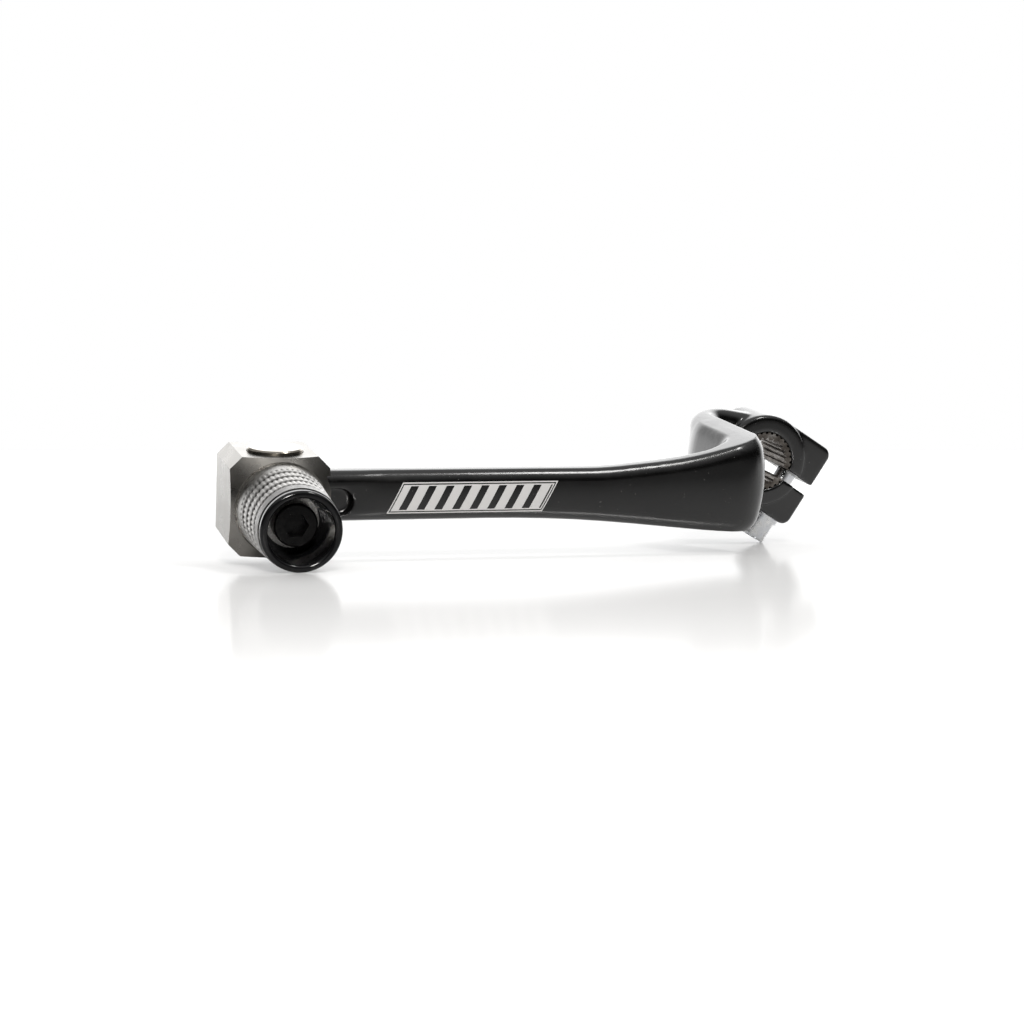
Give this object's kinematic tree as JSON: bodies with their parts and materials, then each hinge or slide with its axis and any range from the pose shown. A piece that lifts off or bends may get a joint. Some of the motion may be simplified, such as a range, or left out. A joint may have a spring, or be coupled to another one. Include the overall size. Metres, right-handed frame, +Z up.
{
  "type": "gear shift lever",
  "caption": "Z-bent motorcycle gear shift lever with a split spline clamp at one end and a spring-return folding toe peg at the other.",
  "frame": {"origin": "middle of the splined bore, on its axis", "axes": "+Y along the bore towards the engine, +X rearward away from the toe peg, +Z up"},
  "size_m": [0.1772, 0.0903, 0.0391],
  "materials": {
    "black_coated_alloy": "high gloss black coating",
    "raw_steel": "broached, uncoated",
    "zinc_plated_steel": "bright zinc",
    "stainless_steel": "turned",
    "bronze": "sintered",
    "acetal_washer": "moulded",
    "spring_steel": "drawn wire",
    "grey_anodised_alloy": "satin anodised",
    "polished_steel": "polished",
    "silver_alloy": "machined and knurled",
    "black_gloss_alloy": "gloss anodised",
    "rubber_seal": "matt",
    "black_oxide_steel": "black oxide"
  },
  "bodies": {
    "lever": {"lever_arm": "black_coated_alloy", "spline_insert": "raw_steel", "pinch_bolt": "zinc_plated_steel", "pinch_washer": "zinc_plated_steel", "thread_insert": "stainless_steel", "pivot_bush_upper": "bronze", "pivot_bush_lower": "bronze", "thrust_washer_upper": "acetal_washer", "thrust_washer_lower": "acetal_washer", "return_spring": "spring_steel"},
    "folding_tip": {"tip_block": "grey_anodised_alloy", "pivot_pin": "polished_steel", "pin_washer": "stainless_steel", "pin_circlip": "spring_steel", "knurled_sleeve": "silver_alloy", "locating_dowel": "stainless_steel", "end_cap": "black_gloss_alloy", "cap_seal": "rubber_seal", "cap_washer": "stainless_steel", "cap_screw": "black_oxide_steel"}
  },
  "joints": [
    {"name": "tip_fold", "type": "hinge", "parent": "lever", "child": "folding_tip", "pos_m": [-0.1444, -0.0478, -0.0003], "axis": [0, 0, 1], "range_deg": [0, 20], "stiffness_Nm_per_rad": 1, "springref_deg": -20.05, "deforming": ["return_spring"]}
  ]
}
